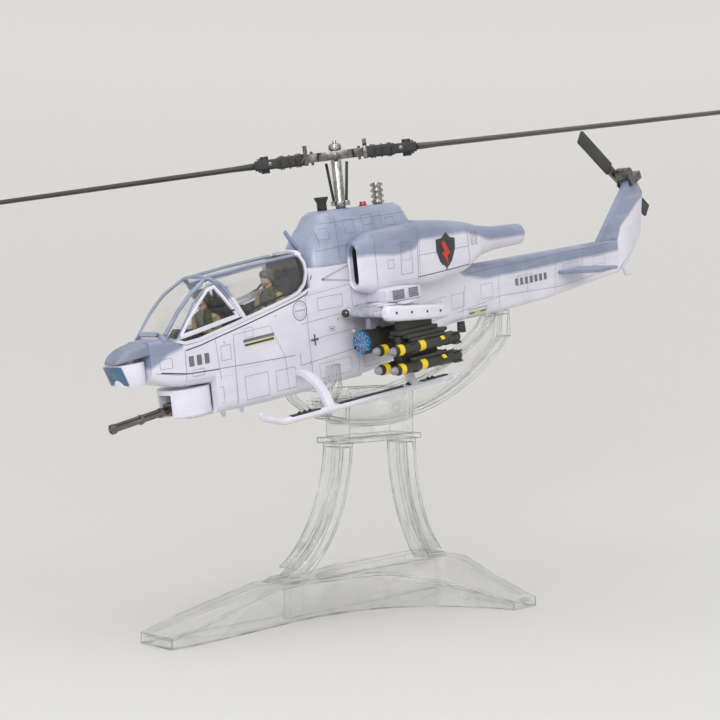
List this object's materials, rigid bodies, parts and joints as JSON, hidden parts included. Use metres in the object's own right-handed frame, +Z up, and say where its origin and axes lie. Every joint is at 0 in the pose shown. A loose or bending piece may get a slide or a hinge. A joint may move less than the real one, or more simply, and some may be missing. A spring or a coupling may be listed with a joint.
{
  "type": "helicopter scale model",
  "caption": "Attack helicopter display model nose down on a clear tripod stand with a curved tilt rail; rotors, gun, nose sensor, canopy doors and stand rail move.",
  "frame": {"origin": "on the table, under the middle of the stand's saddle", "axes": "+X towards the helicopter's nose, +Y to its port (left) side, +Z up"},
  "size_m": [0.3195, 0.2405, 0.1826],
  "materials": {
    "clear_acrylic": "clear moulded acrylic, polished",
    "upper_grey": "satin blue-grey paint",
    "lower_grey": "satin pale grey paint",
    "canopy_clear": "thin clear plastic",
    "cockpit_black": "matte black",
    "crew_green": "painted figure, olive and tan",
    "gunmetal": "dark gunmetal",
    "rotor_charcoal": "matte charcoal",
    "hub_metal": "dark steel with bright edges",
    "mast_steel": "bright steel",
    "black_paint": "satin black",
    "chrome": "bright ribbed metal",
    "beacon_red": "translucent red lamp",
    "pod_face": "white with blue streaks and dark tubes",
    "pod_olive": "dark olive grey",
    "missile_black": "dark olive black with yellow bands",
    "window_blue": "dark blue coated window",
    "skid_grey": "pale grey with black tread"
  },
  "bodies": {
    "stand": {"stand_base": "clear_acrylic", "stand_column": "clear_acrylic", "stand_saddle": "clear_acrylic"},
    "knob": {"clamp_knob": "clear_acrylic"},
    "aircraft": {"arc_rail": "clear_acrylic", "front_yoke": "clear_acrylic", "fuselage": "lower_grey", "tail_boom": "lower_grey", "tail_fin": "upper_grey", "tail_skid": "skid_grey", "tailplane": "lower_grey", "pylon_fairing": "upper_grey", "engine_spine": "upper_grey", "nacelle_port": "lower_grey", "nacelle_starboard": "lower_grey", "engine_intakes": "lower_grey", "exhausts": "lower_grey", "air_scoop": "black_paint", "beacon": "beacon_red", "infrared_jammer": "chrome", "canopy_frame": "upper_grey", "canopy_glass": "canopy_clear", "seat_front": "cockpit_black", "seat_rear": "cockpit_black", "gunner_figure": "crew_green", "pilot_figure": "crew_green", "instrument_panels": "cockpit_black", "nose_cowl": "upper_grey", "wing_port": "lower_grey", "wing_starboard": "lower_grey", "wing_pylons": "lower_grey", "rocket_pods": "pod_olive", "pod_faces": "pod_face", "missile_launchers": "pod_olive", "missiles_port": "missile_black", "missiles_starboard": "missile_black", "skid_port": "skid_grey", "skid_starboard": "skid_grey", "cross_tube_front": "skid_grey", "cross_tube_rear": "skid_grey", "tail_gearbox": "hub_metal"},
    "left_door": {"gunner_door": "upper_grey", "gunner_door_glass": "canopy_clear"},
    "right_door": {"pilot_door": "upper_grey", "pilot_door_glass": "canopy_clear"},
    "nose_sensor": {"sensor_turret": "lower_grey", "sensor_window": "window_blue"},
    "turret": {"gun_turret": "lower_grey"},
    "gun": {"gun_cradle": "gunmetal", "gun_barrels": "gunmetal"},
    "mast": {"mast": "mast_steel", "pitch_links": "black_paint"},
    "rotor": {"rotor_yoke": "hub_metal", "blade_grips": "black_paint", "rotor_horns": "hub_metal", "main_blade_a": "rotor_charcoal", "main_blade_b": "rotor_charcoal"},
    "tail_rotor": {"tail_rotor_hub": "hub_metal", "tail_rotor_blades": "rotor_charcoal"}
  },
  "joints": [
    {"name": "stand_tilt", "type": "hinge", "parent": "stand", "child": "aircraft", "pos_m": [0.00052, 0, 0.18192], "axis": [0, 1, 0], "range_deg": [-20, 2]},
    {"name": "knob_turn", "type": "hinge", "parent": "stand", "child": "knob", "pos_m": [-0.0079, 0.0045, 0.0696], "axis": [0, 1, 0], "continuous": true},
    {"name": "rotor_spin", "type": "hinge", "parent": "aircraft", "child": "mast", "pos_m": [0.01616, 0, 0.14526], "axis": [0.1452, 0, 0.9894], "continuous": true},
    {"name": "rotor_teeter", "type": "hinge", "parent": "mast", "child": "rotor", "pos_m": [0.01795, 0, 0.15743], "axis": [0.7236, 0.682, -0.1062], "range_deg": [-3, 3]},
    {"name": "tail_rotor_spin", "type": "hinge", "parent": "aircraft", "child": "tail_rotor", "pos_m": [-0.16779, -0.004, 0.16589], "axis": [0, 1, 0], "continuous": true},
    {"name": "gun_traverse", "type": "hinge", "parent": "aircraft", "child": "turret", "pos_m": [0.0864, 0, 0.07633], "axis": [0.1452, 0, 0.9894], "range_deg": [-90, 90]},
    {"name": "gun_elevation", "type": "hinge", "parent": "turret", "child": "gun", "pos_m": [0.088, 0, 0.07347], "axis": [0, 1, 0], "range_deg": [-10, 25]},
    {"name": "sensor_traverse", "type": "hinge", "parent": "aircraft", "child": "nose_sensor", "pos_m": [0.10803, 0, 0.08528], "axis": [0.1452, 0, 0.9894], "range_deg": [-30, 30]},
    {"name": "left_door_hinge", "type": "hinge", "parent": "aircraft", "child": "left_door", "pos_m": [0.08202, 0.0072, 0.11053], "axis": [-0.9457, 0, 0.3251], "range_deg": [-55, 0]},
    {"name": "right_door_hinge", "type": "hinge", "parent": "aircraft", "child": "right_door", "pos_m": [0.06057, -0.0074, 0.1159], "axis": [-0.9748, 0, 0.2232], "range_deg": [0, 55]}
  ]
}
